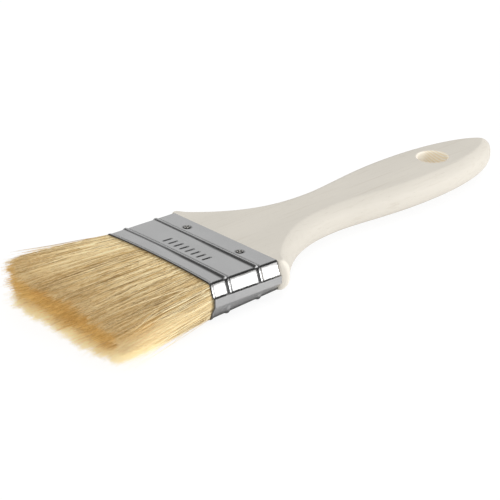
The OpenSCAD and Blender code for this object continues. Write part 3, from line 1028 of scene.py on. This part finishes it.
class BRUSH_OT_stage(bpy.types.Operator):
    """Sets up the plain floor, the soft lights and the camera"""
    bl_idname = "brush.stage"
    bl_label = "Stage"

    def execute(self, context):
        s = context.scene.brush_stage
        corners = [(-FLOOR_HALF, -FLOOR_HALF, 0), (FLOOR_HALF, -FLOOR_HALF, 0),
                   (FLOOR_HALF, FLOOR_HALF, 0), (-FLOOR_HALF, FLOOR_HALF, 0)]
        floor = raw_object("floor", corners, [(0, 1, 2, 3)], smooth=False)
        f = Finish("Floor")
        mottle = f.noise(f.place(scale=(6, 6, 6)))
        f.shade(Base_Color=f.mix(mottle, s.floor, tuple(min(1, c * 1.02) for c in s.floor)), Roughness=0.8,
                Specular_IOR_Level=0.1)
        mirrored, seen, spread = (f.add("ShaderNodeLightPath", None, None, "Is " + ray + " Ray")
                                  for ray in ("Glossy", "Camera", "Diffuse"))
        white = f.add("ShaderNodeEmission", None, {"Color": WHITE, "Strength": 1.05 - mirrored})
        both = f.add("ShaderNodeMixShader", None, {
            0: seen * 0.85 + spread * 0.3 + mirrored * 0.25, 1: Value(f, f.shader.outputs[0]), 2: white})
        f.tree.links.new(both.socket, f.out.inputs["Surface"])
        assign(floor, f)
        self.room(context)
        for box in SOFTBOXES:
            self.softbox(*box)
        context.scene.view_settings.view_transform = "Standard"
        self.camera(context, s)
        return {"FINISHED"}

    def room(self, context):
        """A soft even room: white where it is looked at, bright on matt surfaces and dim in reflections."""
        world = bpy.data.worlds.new("Soft room")
        world.use_nodes = True
        w = Nodes(world.node_tree)
        seen = w.add("ShaderNodeBackground", None, {"Color": WHITE, "Strength": 0.08})
        for ray, strength in (("Is Diffuse Ray", 0.6), ("Is Camera Ray", 1.0)):
            path = w.add("ShaderNodeLightPath", None, None, ray)
            lit = w.add("ShaderNodeBackground", None, {"Color": WHITE, "Strength": strength})
            seen = w.add("ShaderNodeMixShader", None, {0: path, 1: seen, 2: lit})
        out = w.tree.nodes.new("ShaderNodeOutputWorld")
        w.tree.links.new(seen.socket, out.inputs["Surface"])
        context.scene.world = world

    def softbox(self, name, place, width, height, power):
        light = bpy.data.lights.new(name, "AREA")
        light.shape = "RECTANGLE"
        light.size, light.size_y = width, height
        light.energy = power
        obj = put(name, light)
        obj.location = place
        obj.rotation_mode = "QUATERNION"
        obj.rotation_quaternion = (-Vector(place)).to_track_quat("-Z", "Y")

    def camera(self, context, s):
        a, e, r = s.azimuth, s.elevation, s.roll
        back = Vector((math.sin(a) * math.cos(e), -math.cos(a) * math.cos(e), math.sin(e)))
        right = Vector((math.cos(a), math.sin(a), 0.0))
        up = back.cross(right)
        right, up = math.cos(r) * right + math.sin(r) * up, -math.sin(r) * right + math.cos(r) * up
        turn = Matrix((right, up, back)).transposed().to_4x4()
        data = bpy.data.cameras.new("camera")
        data.sensor_width = 36.0
        data.lens = s.lens
        data.clip_start, data.clip_end = 0.01, 50.0
        camera = put("camera", data)
        camera.matrix_world = Matrix.Translation(Vector(s.target) + back * s.distance) @ turn
        context.scene.camera = camera


# ---- the add-on

GROUPS = {"brush_ferrule": FerruleSizes, "brush_handle": HandleSizes, "brush_bristles": BristleSizes,
          "brush_stage": StageSizes}
OPERATORS = [BRUSH_OT_ferrule, BRUSH_OT_nails, BRUSH_OT_handle, BRUSH_OT_inside, BRUSH_OT_bristles,
             BRUSH_OT_stage]


class BRUSH_PT_sidebar(bpy.types.Panel):
    """Lists the sizes, colours and steps of the paint brush"""
    bl_idname = "BRUSH_PT_sidebar"
    bl_label = "Paint brush"
    bl_space_type = "VIEW_3D"
    bl_region_type = "UI"
    bl_category = "Paint brush"

    def draw(self, context):
        for name, group in GROUPS.items():
            box = self.layout.box()
            for field in group.__annotations__:
                box.prop(getattr(context.scene, name), field)
        for operator in OPERATORS:
            self.layout.operator(operator.bl_idname)


def register():
    for group in GROUPS.values():
        bpy.utils.register_class(group)
    for name, group in GROUPS.items():
        setattr(bpy.types.Scene, name, bpy.props.PointerProperty(type=group))
    for cls in OPERATORS + [BRUSH_PT_sidebar]:
        bpy.utils.register_class(cls)


def unregister():
    for cls in reversed(OPERATORS + [BRUSH_PT_sidebar]):
        bpy.utils.unregister_class(cls)
    for name, group in GROUPS.items():
        delattr(bpy.types.Scene, name)
        bpy.utils.unregister_class(group)


def main():
    register()
    for step in ("ferrule", "nails", "handle", "inside", "bristles", "stage"):
        getattr(bpy.ops.brush, step)()


if __name__ == "__main__":
    main()
